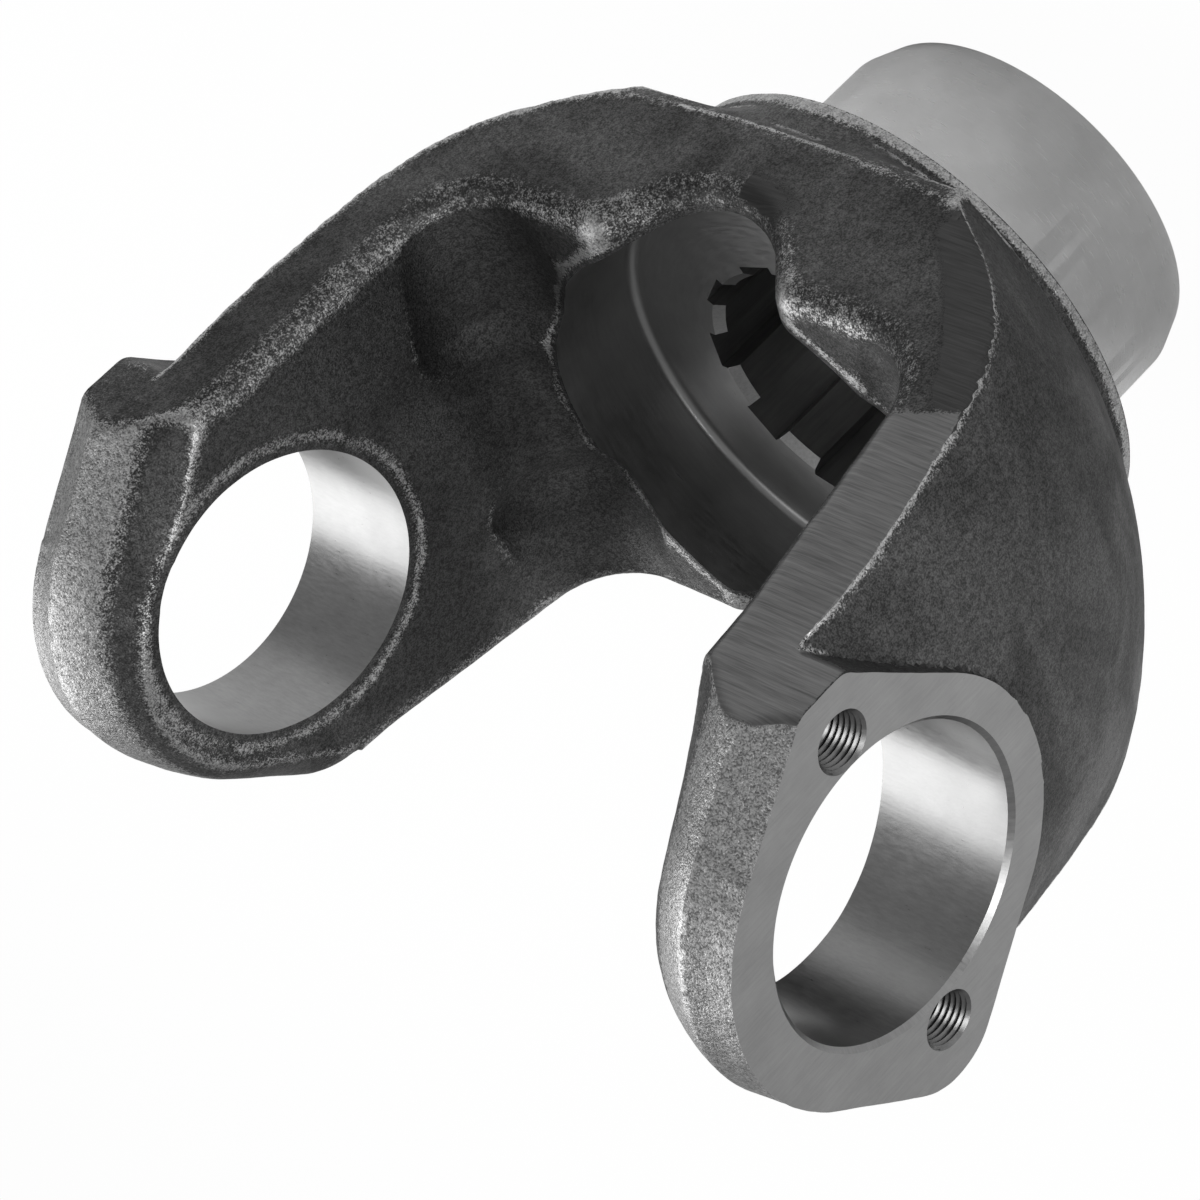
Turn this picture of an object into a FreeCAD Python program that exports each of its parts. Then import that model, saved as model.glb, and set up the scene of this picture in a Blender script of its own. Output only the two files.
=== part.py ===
import FreeCAD, Part
import math
import os

V = FreeCAD.Vector
os.makedirs("parts", exist_ok=True)

# All sizes are in millimetres. The yoke stands on its hub end at z = 0, its spline axis is Z,
# and the cross bore runs along X, level with the joint centre.
joint_height = 124.8

# Cross bore and the machined outer ear faces
cross_bore_radius = 24.61
cross_bore_chamfer = 0.8
ear_span = 154.78

# Tapped holes for the bearing plates, as tapping drill
plate_bolt_spacing = 60.32
plate_bolt_drill_radius = 4.25
plate_bolt_depth = 18.0
drill_point_angle = 118.0

# Outline of the machined ear face, seen along the cross bore
face_tip_radius = 32.2
front_slope_reach = 32.6
back_slope_reach = 34.2
tip_slope = 48.0
root_radius = 31.7
root_slope = 45.8
wing_reach = 40.0
front_wing_radius = 2.5
wing_toe_radius = 4.0
back_wing_radius = 11.2

# The forged ear behind its face: distance from the face, tip radius, reach and angle of the
# front slope, reach of the back slope. The first station ends the pad, the rest form the crown.
crown_stations = [
    (7.5, 35.8, 36.3, 48.0, 35.0),
    (13.0, 37.5, 34.2, 47.0, 35.4),
    (17.5, 34.0, 30.4, 44.0, 33.8),
    (21.0, 26.5, 25.6, 39.0, 30.6),
    (24.5, 15.0, 18.2, 29.0, 25.0),
]
shoulder_depth = 10.5
ear_thickness = 22.93
inner_draft = 5.12

# Forged bowl that carries the ears: depth below the joint centre, reach past the ear face,
# flank radius, half width past the skirt
flank_stations = [
    (86.0, -26.4, 68.0, -1.8),
    (78.5, -18.6, 71.0, 0.6),
    (67.0, -10.4, 91.0, 1.0),
    (51.0, -4.2, 97.0, 1.0),
    (33.0, -0.4, 88.0, 1.0),
    (14.0, 1.6, 80.0, 1.0),
    (0.0, 2.0, 78.0, 1.0),
    (-45.0, 2.0, 78.0, 1.0),
]
collar_radius = 46.0
collar_top = 89.7
collar_bottom = 93.2

# Front and back of the forging: upright at the wings, drafted outwards to the skirt
wing_depth = 8.0
skirt_half = 46.8
skirt_depth = 82.0
front_bend_radius = 60.0
front_bow = 1.0

# Forged throat between the ears
throat_floor = 56.8
throat_root_radius = 13.0
notch_radius = 16.5
notch_side = 50.0
notch_depth = 70.5
notch_lip_radius = 5.0
throat_edge_radius = 4.5
edge_search = 1.0

# Hollows forged into the root of each ear, one towards the front and one towards the back:
# place and depth of the deepest line, and the lengths over which it fades out each way
hollow_place = 18.0
hollow_depth = 2.0
hollow_inner_fade = 6.0
hollow_outer_fade = 24.0

# Machined seat and splined bore
seat_radius = 41.7
seat_depth = 75.4
seat_corner = 1.6
spline_count = 10
spline_minor_radius = 22.85
spline_major_radius = 25.35
spline_slot_width = 7.4
bore_chamfer = 1.5

# Turned hub that runs in the seal
hub_radius = 34.12
hub_lead_in = 4.8
hub_end_radius = 32.45

face_x = ear_span / 2
inner_half_span = face_x - ear_thickness


def at(x, y, depth):
    """Point at a depth below the joint centre."""
    return V(x, y, joint_height - depth)


def rounded(points, radii):
    """Closed wire through points, each corner with its own tangent radius."""
    ends = []
    for i, (p, radius) in enumerate(zip(points, radii)):
        before, after = points[i - 1] - p, points[(i + 1) % len(points)] - p
        before.normalize()
        after.normalize()
        half = before.getAngle(after) / 2
        setback = radius / math.tan(half)
        bisector = before + after
        bisector.normalize()
        middle = p + bisector * (radius / math.sin(half) - radius)
        ends.append((p + before * setback, middle, p + after * setback))
    edges = []
    for i, (start, middle, end) in enumerate(ends):
        if radii[i]:
            edges.append(Part.Arc(start, middle, end).toShape())
        edges.append(Part.makeLine(end, ends[(i + 1) % len(ends)][0]))
    return Part.Wire(edges)


def bowl_section(depth, reach, radius, half, front):
    """Horizontal section of the bowl: round flanks joined by a slightly bowed front and back."""
    corner = reach - radius + math.sqrt(radius ** 2 - half ** 2)
    right = [at(corner, -half, depth), at(reach, 0, depth), at(corner, half, depth), at(0, front, depth)]
    stops = right + [V(-p.x, -p.y, p.z) for p in right] + right[:1]
    return Part.Wire([Part.Arc(*stops[i:i + 3]).toShape() for i in (0, 2, 4, 6)])


def bowl():
    """Forged bowl: a band that spreads from the round collar, lofted on up through the flank stations."""
    half = collar_radius * math.sqrt(0.5)
    sections = [bowl_section(collar_top, collar_radius, collar_radius, half, collar_radius)]
    for depth, reach, radius, past in flank_stations:
        half = skirt_half + past
        sections.append(bowl_section(depth, face_x + reach, radius, half, half + front_bow))
    band = Part.makeLoft(sections[:2], True, True)
    return band.fuse(Part.makeLoft(sections[1:], True, False))


def hub():
    """Turned hub with its collar."""
    outline = [
        V(0, 0, 0),
        V(hub_end_radius, 0, 0),
        V(hub_radius, 0, hub_lead_in),
        at(hub_radius, 0, collar_bottom),
        at(collar_radius, 0, collar_bottom),
        at(collar_radius, 0, collar_top),
        at(0, 0, collar_top),
    ]
    return Part.Face(rounded(outline, [0] * len(outline))).revolve(V(0, 0, 0), V(0, 0, 1), 360)


def slab():
    """Front and back of the forging, from the wings down to the skirt."""
    x = -ear_span
    top = flank_stations[-1][0]
    right = [
        at(x, wing_reach, top),
        at(x, wing_reach, wing_depth),
        at(x, skirt_half, skirt_depth),
        at(x, skirt_half, collar_top),
    ]
    left = [V(p.x, -p.y, p.z) for p in reversed(right)]
    bends = [0, front_bend_radius, front_bend_radius, 0]
    return Part.Face(rounded(right + left, bends + bends)).extrude(V(2 * ear_span, 0, 0))


def ear_outline(x, tip_radius, front_reach, front_slope, back_reach):
    """Ear outline at one x: tip arc between two slopes, flat front wing, round root and back wing."""
    f, b = math.radians(front_slope), math.radians(tip_slope)
    r = math.tan(math.radians(root_slope))
    root = root_radius * math.hypot(1, r)
    tip = (front_reach * math.sin(b) + back_reach * math.sin(f)) / math.sin(f + b)
    tip_y = (front_reach * math.cos(b) - back_reach * math.cos(f)) / math.sin(f + b)
    front_top = (front_reach - wing_reach * math.sin(f)) / math.cos(f)
    back_y = (back_reach / math.cos(b) + root) / (math.tan(b) + r)
    corners = [
        at(x, tip_y, -tip),
        at(x, wing_reach, -front_top),
        at(x, wing_reach, root - wing_reach * r),
        at(x, 0, root),
        at(x, -back_y, root - back_y * r),
    ]
    return rounded(corners, [tip_radius, front_wing_radius, wing_toe_radius, root_radius, back_wing_radius])


def ear(side):
    """One ear: the pad that carries its machined face, and the crown behind it down to the inner side."""
    face = (0, face_tip_radius, front_slope_reach, tip_slope, back_slope_reach)
    sections = []
    for offset, *outline in [face] + crown_stations:
        sections.append(ear_outline(side * (face_x - offset), *outline))
    return Part.makeLoft(sections[:2], True, True), Part.makeLoft(sections[1:], True, False)


def throat():
    """Space between the ears, with its root radius and the notch in the saddle."""
    draft, side = math.tan(math.radians(inner_draft)), math.radians(notch_side)
    top = -2 * root_radius
    y = -2 * skirt_half
    apex = notch_depth + notch_radius * (1 / math.cos(side) - 1)
    lip = (apex - throat_floor) / math.tan(side)
    right = [
        at(inner_half_span - draft * top, y, top),
        at(inner_half_span - draft * throat_floor, y, throat_floor),
        at(lip, y, throat_floor),
    ]
    left = [V(-p.x, p.y, p.z) for p in reversed(right)]
    radii = [0, throat_root_radius, notch_lip_radius]
    profile = rounded(right + [at(0, y, apex)] + left, radii + [notch_radius] + radii[::-1])
    return Part.Face(profile).extrude(V(0, -2 * y, 0))


def box(x, y, low, high):
    """Block centred on the spline axis between two depths."""
    return Part.makeBox(2 * x, 2 * y, low - high, at(-x, -y, low))


def rim(shape):
    """Edges where the throat opens through the front and back of the forging."""
    found = []
    for edge in shape.Edges:
        middle, bounds = edge.CenterOfMass, edge.BoundBox
        depth = joint_height - middle.z
        wall = inner_half_span - depth * math.tan(math.radians(inner_draft)) + edge_search
        one_side = bounds.YMin * bounds.YMax > 0
        if one_side and abs(middle.x) < wall and flank_stations[-1][0] < depth < notch_depth + edge_search:
            found.append(edge)
    return found


def drill(radius, start, direction, depth):
    """Drilled hole with its drill point."""
    point = radius / math.tan(math.radians(drill_point_angle / 2))
    hole = Part.makeCylinder(radius, depth, start, direction)
    return hole.fuse(Part.makeCone(radius, 0, point, start + direction * depth, direction))


def bore():
    """Splined bore with its end chamfer, and the machined seat above it."""
    top = seat_depth - seat_radius
    height = joint_height - seat_depth
    cutter = Part.makeCylinder(spline_minor_radius, height)
    ring = Part.makeCylinder(spline_major_radius, height)
    for i in range(spline_count):
        slot = Part.makeBox(seat_radius, spline_slot_width, height, V(0, -spline_slot_width / 2, 0))
        slot.rotate(V(0, 0, 0), V(0, 0, 1), i * 360 / spline_count)
        cutter = cutter.fuse(slot.common(ring))
    lead = Part.makeCone(spline_major_radius + bore_chamfer, spline_major_radius, bore_chamfer)
    foot = Part.makeCone(seat_radius - seat_corner, seat_radius, seat_corner, at(0, 0, seat_depth))
    seat = Part.makeCylinder(seat_radius, seat_depth - seat_corner - top, at(0, 0, seat_depth - seat_corner))
    return [cutter, lead, foot, seat]


def hollow(side, end):
    """Hollow across the root of an ear: sharp towards the middle, fading out towards the rim."""
    draft = math.radians(inner_draft)
    setback = throat_root_radius * math.tan((math.pi / 2 - draft) / 2)
    root_x = inner_half_span - throat_floor * math.tan(draft) - setback
    deepest = at(side * root_x, end * hollow_place, throat_floor - throat_root_radius)
    radius, tip = throat_root_radius + hollow_depth, throat_root_radius - hollow_depth
    outwards = V(0, end, 0)
    outer = Part.makeCone(radius, tip, 2 * hollow_outer_fade, deepest, outwards)
    return outer.fuse(Part.makeCone(radius, tip, 2 * hollow_inner_fade, deepest, -outwards))


wide = 2 * ear_span

# The forging: bowl and saddle first, then the ears from the joint centre up, their pads and the hub
core = bowl().common(slab()).cut(throat()).removeSplitter()
core = core.makeFillet(throat_edge_radius, rim(core))
core = core.cut([hollow(side, end) for side in (1, -1) for end in (1, -1)])
pads, crowns = zip(ear(1), ear(-1))
body = core.common(box(wide, wide, joint_height, 0))
body = body.fuse([core.common(e) for e in pads + crowns]).removeSplitter()
body = body.common(box(face_x, wide, joint_height, -wide))
shoulders = [e.cut(box(face_x - shoulder_depth, wide, joint_height, -wide)) for e in crowns]
body = body.fuse([*pads, *shoulders, hub()]).removeSplitter()

# The machining
cuts = bore()
cuts.append(Part.makeCylinder(cross_bore_radius, wide, at(-ear_span, 0, 0), V(1, 0, 0)))
for side in (1, -1):
    mouth = cross_bore_radius + cross_bore_chamfer
    inwards = V(-side, 0, 0)
    cuts.append(Part.makeCone(mouth, cross_bore_radius, cross_bore_chamfer, at(side * face_x, 0, 0), inwards))
    for y in (-plate_bolt_spacing / 2, plate_bolt_spacing / 2):
        cuts.append(drill(plate_bolt_drill_radius, at(side * face_x, y, 0), inwards, plate_bolt_depth))
body = body.cut(cuts)
body.exportStep("parts/yoke.step")
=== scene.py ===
import math

import bpy
import numpy as np
from mathutils import Matrix, Vector, kdtree


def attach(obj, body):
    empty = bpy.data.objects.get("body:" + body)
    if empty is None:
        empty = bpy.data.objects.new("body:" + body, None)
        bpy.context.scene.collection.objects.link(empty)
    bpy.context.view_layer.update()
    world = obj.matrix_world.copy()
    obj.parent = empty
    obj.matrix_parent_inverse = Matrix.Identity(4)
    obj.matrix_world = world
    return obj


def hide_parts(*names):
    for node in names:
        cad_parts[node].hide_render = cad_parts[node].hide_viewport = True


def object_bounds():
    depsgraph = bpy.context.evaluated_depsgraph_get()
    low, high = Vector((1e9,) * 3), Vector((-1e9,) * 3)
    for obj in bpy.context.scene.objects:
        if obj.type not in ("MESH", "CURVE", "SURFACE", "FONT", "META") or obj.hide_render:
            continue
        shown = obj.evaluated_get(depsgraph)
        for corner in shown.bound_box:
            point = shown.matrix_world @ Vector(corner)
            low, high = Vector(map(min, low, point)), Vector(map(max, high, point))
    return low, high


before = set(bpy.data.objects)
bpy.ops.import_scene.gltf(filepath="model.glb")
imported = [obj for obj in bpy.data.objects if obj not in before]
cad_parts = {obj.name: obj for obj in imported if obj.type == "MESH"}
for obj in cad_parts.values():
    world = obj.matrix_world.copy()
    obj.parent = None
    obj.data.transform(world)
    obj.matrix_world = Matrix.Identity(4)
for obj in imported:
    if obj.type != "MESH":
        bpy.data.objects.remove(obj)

bl_info = {
    "name": "Forged Yoke",
    "version": (1, 0, 0),
    "blender": (4, 5, 0),
    "location": "View3D > Sidebar > Yoke",
    "description": "Dresses the forged yoke with its worn skin, threads and machined finishes",
    "category": "Object",
}

CAD_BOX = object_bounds()
MM = 0.001

# The hub stands on z = 0 with its axis on z, and the cross bores run along x at the joint's height
JOINT_Z = 0.1248
FACE_X = 0.07739
HUB_R = 0.03412
COLLAR_Z = 0.0316
SEAT_Z = 0.0494
BOLT_Y = 0.03016
BOLTS = [(side, y) for side in (-1, 1) for y in (-BOLT_Y, BOLT_Y)]
SPLINE_SLOTS = 10
# A point this near a surface counts as on it, and points this near each other are merged
ON_SURFACE = 0.02 * MM
MERGE = 0.001 * MM
# Edges that bend more than these are outlines of the forging, and are shaded sharp
OUTLINE_ANGLE = math.radians(24)
SHARP_ANGLE = math.radians(17)
# Turns a tool that is made along z onto its axis
TURNS = {"Z": Matrix(), "X": Matrix.Rotation(math.pi / 2, 4, "Y")}

# Darkest and lightest greys of the forged skin's parts
SKIN_GREYS = (0.04, 0.125)
# The worn greys also paint a highlight on the up-facing ends of the ears
WORN_AND_HIGHLIGHT_GREYS = (0.22, 0.54)
CURVED_TRIM_GREYS = (0.02, 0.1)
EAR_TRIM_GREYS = (0.04, 0.3)
BURR_GREY = 0.55

# Directions to the right of the picture, down it and into it, and the point that the lamps face
RIGHT = Vector((0.699594, -0.296025, -0.650336))
DOWN = Vector((0.312555, -0.691677, 0.651071))
FORWARD = Vector((-0.642556, -0.658751, -0.391369))
CAMERA_AT = (0.40622, 0.42012, 0.22677 + JOINT_Z)
CAMERA_LENS = 123.23
LIT_POINT = Vector((0, 0, 0.09))
FLOOR_SIZE = 12
FLOOR_GREY = (0.9, 0.9, 0.9, 1)
# How bright the floor looks to the camera, and how bright the world is to all but the camera
FLOOR_WHITE = 0.97
WORLD_LIGHT = 0.35


def length(name, millimetres, description):
    return bpy.props.FloatProperty(
        name=name, description=description, default=millimetres * MM, unit="LENGTH", precision=5)


class YokeSizes(bpy.types.PropertyGroup):
    voxel: length("Skin cell", 0.95, "Cell size of the forged skin's mesh")
    lump_height: length("Lump height", 0.35, "Height of the broad unevenness of the forged skin")
    lump_size: length("Lump size", 14, "Width of the broad unevenness")
    dent_height: length("Dent height", 0.14, "Height of the small scale dents")
    dent_size: length("Dent size", 3.2, "Width of the small scale dents")
    bore_radius: length("Cross bore radius", 24.61, "Radius of the honed bores of the ears")
    seat_radius: length("Seat radius", 41.7, "Radius of the turned seat")
    seat_fillet: length("Seat fillet", 1.6, "Radius between the seat's wall and floor")
    spline_minor: length("Spline minor radius", 22.85, "Radius over the spline teeth")
    spline_major: length("Spline major radius", 25.35, "Radius at the bottom of the spline slots")
    spline_slot: length("Spline slot width", 7.4, "Width of each spline slot")
    spline_chamfer: length("Spline chamfer", 1.5, "Chamfer where the spline opens in the seat floor")
    bore_chamfer: length("Bore chamfer", 0.8, "Chamfer at the mouth of each cross bore")
    hub_end_radius: length("Hub end radius", 32.45, "Radius of the hub's end inside its chamfer")
    hub_lead_in: length("Hub lead-in", 4.8, "Length of the hub's chamfer along its axis")
    stock: length("Machining stock", 1.3, "Metal left on each machined surface before it is cut")
    thread_depth: length("Thread depth", 15, "Depth of full thread")
    drill_depth: length("Drill depth", 18, "Depth of the tapping drill before its point")
    thread_pitch: length("Thread pitch", 1.058, "Pitch of the plate bolt threads")
    thread_major: length("Thread radius", 4.762, "Outer radius of the plate bolt threads")
    thread_minor: length("Thread core radius", 4.28, "Inner radius of the plate bolt threads")


def sizes():
    return bpy.context.scene.yoke_sizes


# Modelling helpers

def only(obj):
    """Makes obj the one selected and active object."""
    if bpy.context.mode != "OBJECT":
        bpy.ops.object.mode_set(mode="OBJECT")
    bpy.ops.object.select_all(action="DESELECT")
    obj.select_set(True)
    bpy.context.view_layer.objects.active = obj


def edit(obj):
    """Enters edit mode with all of obj's vertices selected."""
    only(obj)
    bpy.ops.object.mode_set(mode="EDIT")
    bpy.ops.mesh.select_mode(type="VERT")
    bpy.ops.mesh.select_all(action="SELECT")


def leave_edit():
    bpy.ops.object.mode_set(mode="OBJECT")


def read(mesh, items, name, width, kind=np.float64):
    """The values of one property over all vertices or edges, as rows."""
    data = getattr(mesh, items)
    values = np.empty(len(data) * width, dtype=kind)
    data.foreach_get(name, values)
    return values.reshape(-1, width)


def apply_modifier(obj, kind, **values):
    only(obj)
    mod = obj.modifiers.new(kind.title(), kind)
    for key, value in values.items():
        setattr(mod, key, value)
    bpy.ops.object.modifier_apply(modifier=mod.name)


def combine(obj, operation, tool, **values):
    """Joins a tool to obj or cuts obj with it, and removes the tool."""
    apply_modifier(obj, "BOOLEAN", operation=operation, object=tool, solver="EXACT", **values)
    bpy.data.objects.remove(tool)


def settle(obj):
    """Puts the object's place into its mesh."""
    only(obj)
    bpy.ops.object.transform_apply(location=True, rotation=True, scale=True)
    return obj


def stand(obj, axis, at):
    """Turns an object made along z onto the named axis, moves it to a point and settles it."""
    obj.matrix_world = Matrix.Translation(at) @ TURNS[axis]
    return settle(obj)


def join(objects):
    first = objects[0]
    only(first)
    for other in objects[1:]:
        other.select_set(True)
    bpy.ops.object.join()
    return first


def paint(obj, material):
    obj.data.materials.clear()
    obj.data.materials.append(material)
    return obj


def cylinder(radius, low, high, axis="Z", at=(0, 0, 0), sides=128):
    """Cylinder between two heights along an axis through a point."""
    bpy.ops.mesh.primitive_cylinder_add(vertices=sides, radius=radius, depth=high - low)
    along = TURNS[axis] @ Vector((0, 0, (low + high) / 2))
    return stand(bpy.context.object, axis, Vector(at) + along)


def box(centre, size):
    bpy.ops.mesh.primitive_cube_add(size=1)
    obj = bpy.context.object
    obj.dimensions = size
    obj.location = centre
    return settle(obj)


def profile(points):
    """A chain of edges through (radius, height) points, extruded vertex by vertex."""
    bpy.ops.mesh.primitive_plane_add(size=1 * MM)
    obj = bpy.context.object
    edit(obj)
    bpy.ops.mesh.merge(type="CENTER")
    bpy.ops.transform.translate(value=(points[0][0], 0, points[0][1]))
    for a, b in zip(points, points[1:]):
        step = (b[0] - a[0], 0, b[1] - a[1])
        bpy.ops.mesh.extrude_region_move(TRANSFORM_OT_translate={"value": step})
    leave_edit()
    return obj


def turned(points, axis="Z", at=(0, 0, 0), sides=160):
    """Solid of revolution, spun from a closed or axis to axis profile of (radius, height) points."""
    obj = profile(points)
    edit(obj)
    bpy.ops.mesh.spin(steps=sides, angle=2 * math.pi, center=(0, 0, 0), axis=(0, 0, 1))
    bpy.ops.mesh.select_all(action="SELECT")
    bpy.ops.mesh.remove_doubles(threshold=MERGE)
    bpy.ops.mesh.normals_make_consistent(inside=False)
    leave_edit()
    return stand(obj, axis, at)


# Shader helpers

def node(tree, kind, inputs=None, **values):
    """Adds a node, with each input linked or given its value."""
    n = tree.nodes.new(kind)
    for key, value in values.items():
        setattr(n, key, value)
    for key, value in (inputs or {}).items():
        if isinstance(value, bpy.types.NodeSocket):
            tree.links.new(value, n.inputs[key])
        else:
            n.inputs[key].default_value = value
    return n


def math_node(tree, operation, a, b=0.0):
    return node(tree, "ShaderNodeMath", {0: a, 1: b}, operation=operation).outputs[0]


def add(tree, a, b):
    return math_node(tree, "ADD", a, b)


def times(tree, a, b):
    return math_node(tree, "MULTIPLY", a, b)


def around_zero(tree, value, width):
    """Turns a value between 0 and 1 into one of the given width around zero."""
    return times(tree, math_node(tree, "SUBTRACT", value, 0.5), width)


def blend(tree, factor, a, b):
    return node(tree, "ShaderNodeMix", {0: factor, 2: a, 3: b}, data_type="FLOAT").outputs[0]


def ramp(tree, value, low, high, to_low=0.0, to_high=1.0):
    inputs = {0: value, 1: low, 2: high, 3: to_low, 4: to_high}
    return node(tree, "ShaderNodeMapRange", inputs, interpolation_type="SMOOTHSTEP").outputs[0]


def noise(tree, vector, scale, detail, rough, distort=0.0):
    inputs = {"Vector": vector, "Scale": scale, "Detail": detail, "Roughness": rough,
              "Distortion": distort}
    return node(tree, "ShaderNodeTexNoise", inputs).outputs[0]


def attribute(tree, name):
    return node(tree, "ShaderNodeAttribute", attribute_name=name).outputs["Fac"]


def place(tree, scale=(1, 1, 1), location=(0, 0, 0), rotation=(0, 0, 0)):
    """The piece's own coordinates in metres, stretched, moved and turned."""
    coords = node(tree, "ShaderNodeTexCoord").outputs["Object"]
    inputs = {"Vector": coords, "Scale": scale, "Location": location, "Rotation": rotation}
    return node(tree, "ShaderNodeMapping", inputs).outputs[0]


def in_millimetres(tree):
    return place(tree, (1000, 1000, 1000))


def round_coordinates(tree, axis, along, around):
    """Coordinates round an axis. Marks run round it where around is small, or along it where along is."""
    centred = place(tree, location=(0, 0, -JOINT_Z) if axis == "X" else (0, 0, 0))
    x, y, z = node(tree, "ShaderNodeSeparateXYZ", {0: centred}).outputs
    a, b, c = (y, z, x) if axis == "X" else (x, y, z)
    angle = math_node(tree, "ARCTAN2", a, b)
    radius = math_node(tree, "SQRT", add(tree, times(tree, a, a), times(tree, b, b)))
    inputs = {0: times(tree, angle, around), 1: times(tree, c, along), 2: times(tree, radius, along)}
    return node(tree, "ShaderNodeCombineXYZ", inputs).outputs[0]


def grey(tree, value):
    return node(tree, "ShaderNodeCombineColor", {0: value, 1: value, 2: value}).outputs[0]


def bump(tree, height, distance, strength=1.0):
    inputs = {"Height": height, "Distance": distance, "Strength": strength}
    return node(tree, "ShaderNodeBump", inputs).outputs[0]


def principled(name):
    mat = bpy.data.materials.new(name)
    mat.use_nodes = True
    tree = mat.node_tree
    return mat, tree, tree.nodes["Principled BSDF"]


def new_group(name, ins, outs):
    """A node group, its inputs and its outputs. An input without a default is a vector."""
    tree = bpy.data.node_groups.new(name, "ShaderNodeTree")
    for socket_name, default in ins.items():
        kind = "NodeSocketVector" if default is None else "NodeSocketFloat"
        socket = tree.interface.new_socket(name=socket_name, in_out="INPUT", socket_type=kind)
        if default is not None:
            socket.default_value = default
    for socket_name in outs:
        tree.interface.new_socket(name=socket_name, in_out="OUTPUT", socket_type="NodeSocketFloat")
    return tree, node(tree, "NodeGroupInput").outputs, node(tree, "NodeGroupOutput").inputs


# Materials

def grain_group():
    """Shot-blast grain: fine speckle and broad patches as masks, and a height with pits."""
    tree, ins, outs = new_group(
        "blast grain", {"Speckle size": 0.3, "Patch size": 22.0}, ["Speckle", "Patch", "Height"])
    coords = in_millimetres(tree)
    fine_scale = math_node(tree, "DIVIDE", 1.0, ins["Speckle size"])
    patch_scale = math_node(tree, "DIVIDE", 1.0, ins["Patch size"])
    fine = noise(tree, coords, fine_scale, 2.0, 0.6)
    mid = noise(tree, coords, times(tree, fine_scale, 0.35), 3.0, 0.6)
    broad = noise(tree, coords, patch_scale, 4.0, 0.62, 0.6)
    cells = node(tree, "ShaderNodeTexVoronoi",
                 {"Vector": coords, "Scale": times(tree, fine_scale, 0.42)}, feature="F1").outputs[0]
    pit = ramp(tree, cells, 0.12, 0.42, 1.0, 0.0)
    raised = add(tree, fine, times(tree, mid, 1.4))
    grain = add(tree, times(tree, fine, 0.6), times(tree, mid, 0.4))
    tree.links.new(ramp(tree, grain, 0.36, 0.66), outs["Speckle"])
    tree.links.new(ramp(tree, broad, 0.3, 0.7), outs["Patch"])
    tree.links.new(math_node(tree, "SUBTRACT", raised, times(tree, pit, 0.35)), outs["Height"])
    return tree


def forged_material(grain):
    """Dark forged and blasted skin, bright on its ridges from wear and on the up-facing ends of the ears
    from wear and a painted highlight, with the flash line and its ground bands.
    """
    mat, tree, shader = principled("forged skin")
    speckle, patch, height = node(
        tree, "ShaderNodeGroup", {"Speckle size": 0.3, "Patch size": 22.0}, node_tree=grain).outputs
    # Bright where the skin is worn, and where the ear ends carry a painted highlight
    worn_and_highlit = ramp(tree, add(tree, attribute(tree, "wear"), around_zero(tree, speckle, 0.5)), 0.3, 0.85)
    dark = times(tree, blend(tree, speckle, *SKIN_GREYS), ramp(tree, patch, 0.0, 1.0, 0.82, 1.25))
    base = blend(tree, worn_and_highlit, dark, blend(tree, speckle, *WORN_AND_HIGHLIGHT_GREYS))
    # The parting line is a thin bright burr, broken along its length
    seam = add(tree, attribute(tree, "seam"), around_zero(tree, patch, 0.5))
    burr = times(tree, ramp(tree, seam, 0.25, 0.75, 1.0, 0.0), ramp(tree, speckle, 0.1, 0.6))
    base = blend(tree, burr, base, BURR_GREY)
    # The two trims were ground by a belt, which left parallel scratches
    belt = place(tree, (35, 35, 1000), rotation=(0, math.radians(32), 0))
    scratches = noise(tree, belt, 2.6, 3.0, 0.7)
    jagged = around_zero(tree, speckle, 1.2)
    ear = ramp(tree, add(tree, attribute(tree, "ear_trim"), jagged), -0.15, 0.35)
    curved = ramp(tree, add(tree, attribute(tree, "curved_trim"), jagged), -0.15, 0.35)
    base = blend(tree, curved, base, blend(tree, scratches, *CURVED_TRIM_GREYS))
    base = blend(tree, ear, base, blend(tree, scratches, *EAR_TRIM_GREYS))
    ground = math_node(tree, "MAXIMUM", ear, curved)
    rough = blend(tree, worn_and_highlit, ramp(tree, patch, 0.0, 1.0, 0.6, 0.46), 0.4)
    relief = blend(tree, ground, height, times(tree, scratches, 0.6))
    tree.links.new(grey(tree, base), shader.inputs["Base Color"])
    tree.links.new(blend(tree, ground, rough, 0.38), shader.inputs["Roughness"])
    tree.links.new(bump(tree, relief, 0.08 * MM, 0.9), shader.inputs["Normal"])
    shader.inputs["Metallic"].default_value = 1.0
    return mat


def tool_marks_group():
    """Fine parallel tool marks, faint clouds and a few dark scratches, from stretched coordinates."""
    tree, ins, outs = new_group(
        "tool marks", {"Coordinates": None, "Scale": 2.5, "Base": 0.4, "Contrast": 0.1, "Roughness": 0.3},
        ["Grey", "Roughness", "Marks"])
    lines = noise(tree, ins["Coordinates"], ins["Scale"], 3.0, 0.7)
    clouds = ramp(tree, noise(tree, in_millimetres(tree), 0.11, 4.0, 0.6), 0.25, 0.75, 0.93, 1.06)
    scratches = ramp(tree, lines, 0.7, 0.76, 1.0, 0.6)
    marked = add(tree, ins["Base"], around_zero(tree, lines, ins["Contrast"]))
    tree.links.new(times(tree, times(tree, marked, clouds), scratches), outs["Grey"])
    tree.links.new(add(tree, ins["Roughness"], around_zero(tree, lines, 0.25)), outs["Roughness"])
    tree.links.new(lines, outs["Marks"])
    return tree


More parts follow.
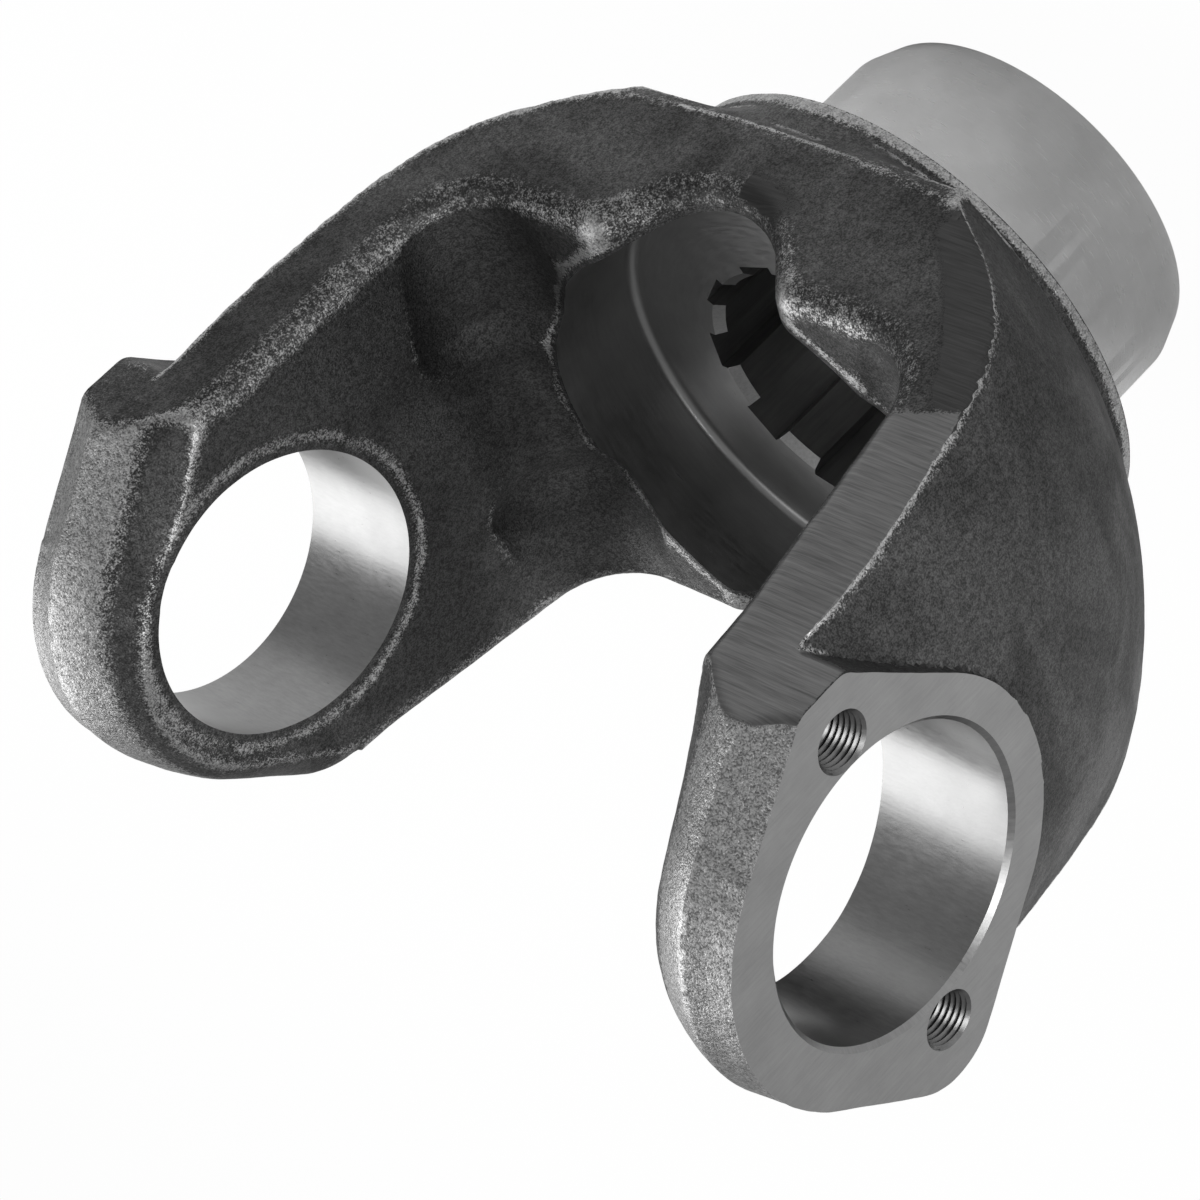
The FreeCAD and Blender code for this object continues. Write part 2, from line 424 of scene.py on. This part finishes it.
def machined_material(name, marks, coordinates, scale, base, contrast, roughness, depth=0.01 * MM):
    """Machined steel with tool marks along the given coordinates."""
    mat, tree, shader = principled(name)
    inputs = {"Coordinates": coordinates(tree), "Scale": scale, "Base": base, "Contrast": contrast,
              "Roughness": roughness}
    value, rough, lines = node(tree, "ShaderNodeGroup", inputs, node_tree=marks).outputs
    tree.links.new(grey(tree, value), shader.inputs["Base Color"])
    tree.links.new(rough, shader.inputs["Roughness"])
    tree.links.new(bump(tree, lines, depth), shader.inputs["Normal"])
    shader.inputs["Metallic"].default_value = 1.0
    return mat


def ground_material(marks):
    """Outer faces of the ears and the hub's end, ground in straight fine lines."""
    return machined_material(
        "ground face", marks, lambda tree: place(tree, (1000, 1000, 90), rotation=(0.3, 0, 0)),
        scale=2.4, base=0.33, contrast=0.14, roughness=0.36)


def bore_material(marks):
    """Honed cross bores, with fine marks along them."""
    return machined_material(
        "honed bore", marks, lambda tree: round_coordinates(tree, "X", along=260, around=30),
        scale=1.6, base=0.3, contrast=0.16, roughness=0.33)


def seat_material(marks):
    """Turned seat inside the bowl."""
    return machined_material(
        "turned seat", marks, lambda tree: round_coordinates(tree, "Z", along=1000, around=4),
        scale=2.0, base=0.3, contrast=0.1, roughness=0.36)


def hub_material(marks):
    """Finely turned hub, whose grooves draw its reflections out along the axis."""
    mat = machined_material(
        "turned hub", marks, lambda tree: round_coordinates(tree, "Z", along=1000, around=3),
        scale=2.4, base=0.6, contrast=0.08, roughness=0.24, depth=0.006 * MM)
    shader = mat.node_tree.nodes["Principled BSDF"]
    shader.inputs["Anisotropic"].default_value = 0.8
    shader.inputs["Anisotropic Rotation"].default_value = 0.25
    return mat


def spline_material(marks):
    """Broached spline, with coarser marks along the axis."""
    return machined_material(
        "broached spline", marks, lambda tree: place(tree, (1000, 1000, 60)),
        scale=2.0, base=0.3, contrast=0.2, roughness=0.42, depth=0.02 * MM)


def thread_material(marks):
    """Dark oiled threads."""
    return machined_material(
        "cut thread", marks, in_millimetres, scale=1.5, base=0.2, contrast=0.1, roughness=0.34)


# Tools that machine the forging

def face_tool():
    """Blocks that trim the outer faces of the ears and the hub's end."""
    depth = 0.1
    ear_width = 0.2
    hub_width = 0.12
    blocks = [box((side * (FACE_X + depth / 2), 0, JOINT_Z), (depth, ear_width, ear_width))
              for side in (-1, 1)]
    blocks.append(box((0, 0, -depth / 2), (hub_width, hub_width, depth)))
    return join(blocks)


def bore_tool():
    """Boring bar through both ears, with its chamfers at their outer faces."""
    s = sizes()
    r = s.bore_radius
    mouth = FACE_X - s.bore_chamfer
    far = 0.09
    wide = r + far - mouth
    return turned([(0, -far), (wide, -far), (r, -mouth), (r, mouth), (wide, far), (0, far)],
                  "X", (0, 0, JOINT_Z))


def seat_tool():
    """Counterbore with a rounded corner, held by a narrow strip of floor and of wall on either side."""
    s = sizes()
    f = s.seat_fillet
    wall = s.seat_radius
    strip = 0.4 * MM
    top = SEAT_Z + 0.04
    arc = [(wall - f + f * math.cos(a), SEAT_Z + f - f * math.sin(a))
           for a in np.linspace(math.pi / 2, 0, 9)]
    floor = [(0, SEAT_Z), (wall - f - strip, SEAT_Z)]
    return turned(floor + arc + [(wall, SEAT_Z + f + strip), (wall, top), (0, top)])


def hub_tool():
    """Ring that turns the hub with its lead-in, and the collar's underside."""
    s = sizes()
    outside = 0.07
    below = 0.004
    taper = (HUB_R - s.hub_end_radius) / s.hub_lead_in
    start = (outside, -below)
    return turned([start, (s.hub_end_radius - below * taper, -below), (HUB_R, s.hub_lead_in),
                   (HUB_R, COLLAR_Z), (outside, COLLAR_Z), start], sides=256)


def spline_tool():
    """Broach with straight-sided slots and a chamfer at the seat floor."""
    s = sizes()
    low = -0.005
    high = SEAT_Z + 1 * MM
    wide = s.spline_minor + s.spline_chamfer
    broach = turned([(0, low), (s.spline_minor, low), (s.spline_minor, SEAT_Z - s.spline_chamfer),
                     (wide, SEAT_Z), (wide, high), (0, high)])
    for i in range(SPLINE_SLOTS):
        slot = box((s.spline_major / 2, 0, (low + high) / 2), (s.spline_major, s.spline_slot, high - low))
        slot.matrix_world = Matrix.Rotation(i * 2 * math.pi / SPLINE_SLOTS, 4, "Z")
        combine(broach, "UNION", settle(slot))
    return broach


def close_end(tap, middle, high):
    """Draws one open end of a screw together to a point on its axis."""
    bpy.ops.mesh.select_all(action="DESELECT")
    bpy.ops.mesh.select_non_manifold()
    leave_edit()
    for v in tap.data.vertices:
        v.select = v.select and (v.co.z > middle) == high
    for e in tap.data.edges:
        e.select = False
    bpy.ops.object.mode_set(mode="EDIT")
    bpy.ops.mesh.extrude_region_move()
    bpy.ops.mesh.merge(type="CENTER")


def thread_tap():
    """Solid screw with the thread's shape, from its full depth to past the outer face."""
    s = sizes()
    p = s.thread_pitch
    core = s.thread_minor
    crest = s.thread_major
    # Where the rising flank, the crest and the falling flank end within one pitch
    rise_end = 0.4 * p
    crest_end = 0.5 * p
    fall_end = 0.9 * p
    turns = round(s.thread_depth / p) + 2
    steps = 24
    tap = profile([(core, 0), (crest, rise_end), (crest, crest_end), (core, fall_end), (core, p)])
    apply_modifier(tap, "SCREW", angle=2 * math.pi, screw_offset=p, iterations=turns,
                   steps=steps, render_steps=steps)
    edit(tap)
    bpy.ops.mesh.remove_doubles(threshold=2 * MERGE)
    for high in (False, True):
        close_end(tap, turns * p / 2, high)
    bpy.ops.mesh.select_all(action="SELECT")
    bpy.ops.mesh.normals_make_consistent(inside=False)
    leave_edit()
    return stand(tap, "Z", (0, 0, -s.thread_depth))


def thread_tool(side, y):
    """Tap and pointed drill that cut a threaded hole, with a small lead, in the outer face of one ear."""
    s = sizes()
    # The drill is this much smaller than the thread's core, so that their surfaces never coincide
    clearance = 0.03 * MM
    drill = s.thread_minor - clearance
    point_angle = math.radians(118 / 2)
    point = drill / math.tan(point_angle)
    lead = 0.12 * MM
    wide = s.thread_major + lead
    above = 1 * MM
    tap = thread_tap()
    pilot = turned([(0, -s.drill_depth - point), (drill, -s.drill_depth),
                    (drill, -lead - (s.thread_major - drill)), (wide, 0), (wide + above, above), (0, above)],
                   sides=48)
    combine(tap, "UNION", pilot)
    outwards = Matrix.Rotation(side * math.pi / 2, 4, "Y")
    tap.matrix_world = Matrix.Translation((side * FACE_X, y, JOINT_Z)) @ outwards
    return settle(tap)


# Steps of the forging

def add_stock(body):
    """Moves every surface that the tools cut out into the air, so that the cuts come out clean."""
    s = sizes()
    stock = s.stock
    co = read(body.data, "vertices", "co", 3)
    x, y, z = co.T.copy()
    cross = np.hypot(y, z - JOINT_Z)
    radial = np.hypot(x, y)
    # The ears are beyond ear_x, a bore reaches out to bore_rim with its chamfer, the seat's corner is
    # between seat_corner and its wall, and only the hub's outside is past hub_inside
    ear_x = 0.045
    bore_rim = s.bore_radius + 1 * MM
    seat_corner = s.seat_radius - 2 * MM
    hub_inside = s.spline_major + 3 * MM
    bores = (cross < bore_rim) & (np.abs(x) > ear_x)
    faces = np.abs(x) > FACE_X - ON_SURFACE
    wall = (np.abs(radial - s.seat_radius) < ON_SURFACE) & (z > SEAT_Z)
    floor = (z > SEAT_Z - ON_SURFACE) & (z < SEAT_Z + s.seat_fillet) & (radial < s.seat_radius)
    inwards = wall | (floor & (radial > seat_corner))
    hub = (radial < HUB_R + ON_SURFACE) & (radial > hub_inside) & (z < COLLAR_Z + ON_SURFACE)
    down = (z < ON_SURFACE) | (np.abs(z - COLLAR_Z) < ON_SURFACE)
    co[bores, 1] *= 1 - stock / cross[bores]
    co[bores, 2] = JOINT_Z + (z[bores] - JOINT_Z) * (1 - stock / cross[bores])
    co[faces, 0] += np.sign(x[faces]) * stock
    co[inwards, :2] *= (1 - stock / radial[inwards])[:, None]
    co[floor, 2] += stock
    co[hub, :2] *= (1 + stock / radial[hub])[:, None]
    co[down, 2] -= stock
    body.data.vertices.foreach_set("co", co.ravel())


def plugs():
    """Solid metal where the spline and the four threaded holes are, to be cut again."""
    s = sizes()
    wider = 1 * MM
    # The holes are filled from here, just inside the metal of each ear, to the stock on its face
    inner_x = 0.0585
    solids = [cylinder(s.spline_major + wider, -s.stock, SEAT_Z + s.stock)]
    for side, y in BOLTS:
        low, high = sorted((side * inner_x, side * (FACE_X + s.stock)))
        solids.append(cylinder(s.thread_major + wider, low, high, axis="X", at=(0, y, JOINT_Z), sides=24))
    return solids


def roughen(body):
    """Broad lumps and small scale dents, mostly inwards, and never past the solid's box."""
    s = sizes()
    # The part of each height that goes inwards
    inward = 0.65
    for name, height, size in (("lumps", s.lump_height, s.lump_size), ("dents", s.dent_height, s.dent_size)):
        texture = bpy.data.textures.new(name, "CLOUDS")
        texture.noise_scale = size
        texture.noise_depth = 2
        apply_modifier(body, "DISPLACE", texture=texture, strength=height, mid_level=inward,
                       texture_coords="LOCAL")
    low, high = CAD_BOX
    co = read(body.data, "vertices", "co", 3)
    co[:, 1] = np.clip(co[:, 1], low[1], high[1])
    co[:, 2] = np.minimum(co[:, 2], high[2])
    body.data.vertices.foreach_set("co", co.ravel())


def machine(body):
    """Trims the ear faces and the hub end, then cuts the bores, seat and hub, the threads and the spline."""
    marks = tool_marks_group()
    trim = paint(face_tool(), ground_material(marks))
    bores = paint(bore_tool(), bore_material(marks))
    seat = paint(seat_tool(), seat_material(marks))
    hub = paint(hub_tool(), hub_material(marks))
    thread = thread_material(marks)
    holes = [paint(thread_tool(side, y), thread) for side, y in BOLTS]
    spline = paint(spline_tool(), spline_material(marks))
    for tool in (trim, join([bores, seat, hub]), join(holes), spline):
        for mat in tool.data.materials:
            body.data.materials.append(mat)
        combine(body, "DIFFERENCE", tool, material_mode="TRANSFER")
    only(body)
    bpy.ops.object.shade_smooth_by_angle(angle=SHARP_ANGLE)
    apply_modifier(body, "WEIGHTED_NORMAL", keep_sharp=True)


# Marks of forging and use, and a painted highlight on the ear ends, kept as attributes of the mesh, with
# distances in millimetres. From seam_distance on, lengths are in millimetres too, and heights are measured
# from the joint.

# The depth inside a ground trim that stands for no trim
OFF_TRIM = -5


def seam_points(body):
    """Points every half millimetre along the sharp outer outlines of the body's two drafted faces."""
    edit(body)
    bpy.ops.mesh.select_mode(type="EDGE")
    bpy.ops.mesh.select_all(action="DESELECT")
    bpy.ops.mesh.edges_select_sharp(sharpness=OUTLINE_ANGLE)
    leave_edit()
    spacing = 0.5 * MM
    face_rim = FACE_X - 0.3 * MM
    bore_rim = 0.026
    bowl_outside = 0.073
    ear_outside = 0.064
    drafted_y = 0.036
    co = read(body.data, "vertices", "co", 3)
    points = []
    for edge in body.data.edges:
        a, b = (co[i] for i in edge.vertices)
        x, y, z = (a + b) / 2
        machined = abs(x) > face_rim or math.hypot(y, z - JOINT_Z) < bore_rim
        outer = math.hypot(x, z - JOINT_Z) > bowl_outside or abs(x) > ear_outside
        if edge.select and abs(y) > drafted_y and outer and not machined:
            steps = int(np.linalg.norm(b - a) / spacing) + 1
            points += [a + (b - a) * k / steps for k in range(steps + 1)]
    return points


def seam_distance(co, seam):
    """Distance from each point near the drafted faces to the parting line, and far off elsewhere."""
    far_off = 20.0
    near_y = 30
    tree = kdtree.KDTree(len(seam))
    for i, point in enumerate(seam):
        tree.insert(point, i)
    tree.balance()
    distance = np.full(len(co), far_off)
    near = np.nonzero(np.abs(co[:, 1]) > near_y * MM)[0]
    distance[near] = [tree.find(co[i])[2] / MM for i in near]
    return distance


def rise(value, start, width):
    """0 up to the start, then rising to 1 over the width."""
    return np.clip((value - start) / width, 0, 1)


def proud(me, co, normal):
    """How far each point stands out from its smoothed surroundings, 0 to 1."""
    rounds = 22
    n = len(co)
    a, b = read(me, "edges", "vertices", 2, np.int32).T
    degree = np.maximum(np.bincount(a, minlength=n) + np.bincount(b, minlength=n), 1)
    smooth = co.copy()
    for _ in range(rounds):
        total = np.zeros_like(smooth)
        for k in range(3):
            total[:, k] = np.bincount(a, smooth[b, k], n) + np.bincount(b, smooth[a, k], n)
        smooth = 0.5 * smooth + 0.5 * total / degree[:, None]
    height = np.einsum("ij,ij->i", co - smooth, normal) / MM
    return rise(height, 0.04, 0.55)


def old_skin(x, y, z):
    """0 beside the edges that the tools cut, rising to 1 where the old skin begins."""
    s = sizes()
    margin, fade = 0.3, 3
    seat_margin, seat_fade = 0.2, 1.5
    bowl_top = -30
    from_bore = rise(np.hypot(y, z) - s.bore_radius / MM, margin, fade)
    from_face = rise(FACE_X / MM - np.abs(x), margin, fade)
    from_seat = rise(np.hypot(x, y) - s.seat_radius / MM, seat_margin, seat_fade)
    return np.minimum(np.minimum(from_bore, from_face), np.where(z < bowl_top, from_seat, 1))


def rubbed_ends_and_highlight(x, z, normal):
    """The ends of the ears, rubbed bright in handling and given a painted highlight where they face up, 0 to
    1.
    """
    ear_end, fade = 59, 4
    lowest = -5
    brightest = 0.85
    # Faces that turn up are made brighter: a painted highlight on top of the rubbing
    facing = rise(normal[:, 2], -0.1, 0.5)
    return brightest * (facing * rise(np.abs(x), ear_end, fade) * (z > lowest))


def curved_trim(side, z, front, seam):
    """Depth inside the curved band that was ground along the bowl's shoulder, below the flash line."""
    heights = (-82, -76, -62, -50, -43)
    widths = (0, 5, 8, 6.5, 0)
    least_facing = 0.55
    return np.where((side > 0) & (front > least_facing), np.interp(z, heights, widths) - seam, OFF_TRIM)


def ear_trim(side, z, front):
    """Depth inside the flat that was ground down one side of the ear, between its root and its wing."""
    root_depth, root_slope, root_side = 46, 0.35, 55
    wing_height = 9.5
    least_facing = 0.75
    deepest = 3
    from_root = z + root_depth + root_slope * (side - root_side)
    to_wing = wing_height - z
    facing = np.minimum((front - least_facing) * 20, deepest)
    return np.where(side > 0, np.minimum(np.minimum(from_root, to_wing), facing), OFF_TRIM)


def mark(body, seam):
    """Wear on what stands proud, wear and a painted highlight on the up-facing ear ends, the parting line,
    and where the flash was ground off.
    """
    me = body.data
    co = read(me, "vertices", "co", 3)
    normal = read(me, "vertices", "normal", 3)
    x, y, z = co[:, 0] / MM, co[:, 1] / MM, (co[:, 2] - JOINT_Z) / MM
    line = seam_distance(co, seam)
    # Wear on proud edges, and on the ear ends wear together with a painted highlight
    wear = np.maximum(proud(me, co, normal) * old_skin(x, y, z), rubbed_ends_and_highlight(x, z, normal))
    # The same trims are on the ear across the axis, turned half round the hub
    turn = np.where(y > 0, 1, -1)
    side = x * turn
    front = normal[:, 1] * turn
    values = {"wear": wear, "seam": line, "curved_trim": curved_trim(side, z, front, line),
              "ear_trim": ear_trim(side, z, front)}
    for name, value in values.items():
        me.attributes.new(name, "FLOAT", "POINT")
        me.attributes[name].data.foreach_set("value", value.astype(np.float32))


class YOKE_OT_forging(bpy.types.Operator):
    """Builds the forged body from the frame's solid, roughens its skin and machines it"""
    bl_idname = "yoke.forging"
    bl_label = "Forging"

    def execute(self, context):
        body = bpy.data.objects.new("yoke_forging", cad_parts["yoke"].data.copy())
        context.collection.objects.link(body)
        edit(body)
        bpy.ops.mesh.remove_doubles(threshold=MERGE)
        leave_edit()
        seam = seam_points(body)
        add_stock(body)
        join([body] + plugs())
        body.data.remesh_voxel_size = sizes().voxel
        only(body)
        bpy.ops.object.voxel_remesh()
        roughen(body)
        paint(body, forged_material(grain_group()))
        machine(body)
        mark(body, seam)
        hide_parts("yoke")
        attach(body, "root")
        return {"FINISHED"}


# Stage

def add_floor():
    """Floor that looks white to the camera and still takes the yoke's shadow."""
    bpy.ops.mesh.primitive_plane_add(size=FLOOR_SIZE)
    floor = bpy.context.object
    floor.name = "floor"
    mat, tree, shader = principled("white floor")
    shader.inputs["Base Color"].default_value = FLOOR_GREY
    shader.inputs["Roughness"].default_value = 0.9
    glow = node(tree, "ShaderNodeEmission", {"Strength": 1.0}).outputs[0]
    seen = times(tree, node(tree, "ShaderNodeLightPath").outputs["Is Camera Ray"], FLOOR_WHITE)
    mix = node(tree, "ShaderNodeMixShader", {0: seen, 1: shader.outputs[0], 2: glow}).outputs[0]
    tree.links.new(mix, tree.nodes["Material Output"].inputs["Surface"])
    paint(floor, mat)


def add_world():
    """White surroundings, dimmer where they light the yoke than where the camera sees them."""
    world = bpy.data.worlds.new("studio")
    bpy.context.scene.world = world
    world.use_nodes = True
    tree = world.node_tree
    background = tree.nodes["Background"]
    background.inputs["Color"].default_value = (1, 1, 1, 1)
    seen = node(tree, "ShaderNodeLightPath").outputs["Is Camera Ray"]
    tree.links.new(blend(tree, seen, WORLD_LIGHT, 1.0), background.inputs["Strength"])


def add_softbox(name, away, size, power):
    """Square lamp that stands this far away from the lit point and faces it."""
    light = bpy.data.lights.new(name, "AREA")
    light.shape = "SQUARE"
    light.size = size
    light.energy = power
    lamp = bpy.data.objects.new(name, light)
    at = LIT_POINT + away
    lamp.location = at
    lamp.rotation_euler = (at - LIT_POINT).to_track_quat("Z", "Y").to_euler()
    lamp.visible_camera = False
    bpy.context.collection.objects.link(lamp)


def add_camera():
    """Camera with the photo's viewing angle."""
    lens = bpy.data.cameras.new("camera")
    lens.lens = CAMERA_LENS
    lens.sensor_width = 36
    lens.clip_start = 0.01
    camera = bpy.data.objects.new("camera", lens)
    turn = Matrix((RIGHT, -DOWN, -FORWARD)).transposed()
    camera.matrix_world = Matrix.Translation(CAMERA_AT) @ turn.to_4x4()
    bpy.context.collection.objects.link(camera)
    bpy.context.scene.camera = camera


class YOKE_OT_stage(bpy.types.Operator):
    """Adds the pale floor, the soft lights and the camera"""
    bl_idname = "yoke.stage"
    bl_label = "Stage"

    def execute(self, context):
        add_floor()
        add_world()
        add_softbox("back softbox", Vector((-0.64, -0.25, 0.72)) * 0.8, size=0.6, power=3.4)
        add_softbox("overhead softbox", Vector((-0.26, 0.19, 1.0)) * 0.9, size=0.6, power=1.2)
        add_softbox("right softbox", Vector((0.85, 0.2, 0.35)) * 0.9, size=0.35, power=2.6)
        add_camera()
        context.scene.view_settings.view_transform = "Standard"
        return {"FINISHED"}


class YOKE_PT_panel(bpy.types.Panel):
    """Lists the yoke's sizes and steps"""
    bl_label = "Forged Yoke"
    bl_idname = "YOKE_PT_panel"
    bl_space_type = "VIEW_3D"
    bl_region_type = "UI"
    bl_category = "Yoke"

    def draw(self, context):
        for name in YokeSizes.__annotations__:
            self.layout.prop(context.scene.yoke_sizes, name)
        self.layout.operator("yoke.forging")
        self.layout.operator("yoke.stage")


CLASSES = (YokeSizes, YOKE_OT_forging, YOKE_OT_stage, YOKE_PT_panel)


def register():
    for cls in CLASSES:
        bpy.utils.register_class(cls)
    bpy.types.Scene.yoke_sizes = bpy.props.PointerProperty(type=YokeSizes)


def unregister():
    del bpy.types.Scene.yoke_sizes
    for cls in reversed(CLASSES):
        bpy.utils.unregister_class(cls)


def main():
    register()
    bpy.ops.yoke.forging()
    bpy.ops.yoke.stage()


if __name__ == "__main__":
    main()
